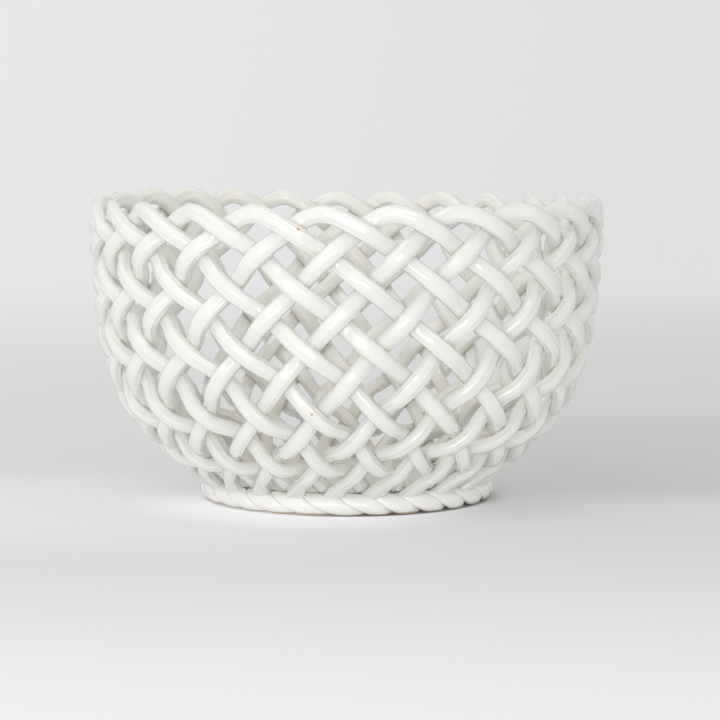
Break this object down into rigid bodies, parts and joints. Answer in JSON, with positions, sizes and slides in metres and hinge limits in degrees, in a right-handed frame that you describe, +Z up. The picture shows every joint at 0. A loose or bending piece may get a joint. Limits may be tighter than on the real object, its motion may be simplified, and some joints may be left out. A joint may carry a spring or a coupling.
{
  "type": "woven porcelain basket",
  "caption": "Round open basket plaited from rolled porcelain strands with a scalloped arched rim, a plain base plate and a twisted rope foot; holds fruit or bread.",
  "frame": {"origin": "middle of the footprint, on the surface that the basket stands on", "axes": "+Z up along the basket's axis, -Y towards the side seen in the picture, +X to its right"},
  "size_m": [0.242, 0.2416, 0.1442],
  "materials": {
    "strand_porcelain": "glossy white glaze",
    "rope_porcelain": "glossy white glaze, bare where it stands on the table",
    "base_porcelain": "glossy white glaze"
  },
  "bodies": {
    "root": {"base_plate": "base_porcelain", "foot_rope_a": "rope_porcelain", "foot_rope_b": "rope_porcelain", "strand_01": "strand_porcelain", "strand_02": "strand_porcelain", "strand_03": "strand_porcelain", "strand_04": "strand_porcelain", "strand_05": "strand_porcelain", "strand_06": "strand_porcelain", "strand_07": "strand_porcelain", "strand_08": "strand_porcelain", "strand_09": "strand_porcelain", "strand_10": "strand_porcelain", "strand_11": "strand_porcelain", "strand_12": "strand_porcelain", "strand_13": "strand_porcelain", "strand_14": "strand_porcelain", "strand_15": "strand_porcelain", "strand_16": "strand_porcelain", "strand_17": "strand_porcelain", "strand_18": "strand_porcelain", "strand_19": "strand_porcelain", "strand_20": "strand_porcelain", "strand_21": "strand_porcelain", "strand_22": "strand_porcelain", "strand_23": "strand_porcelain", "strand_24": "strand_porcelain", "strand_25": "strand_porcelain"}
  },
  "joints": []
}
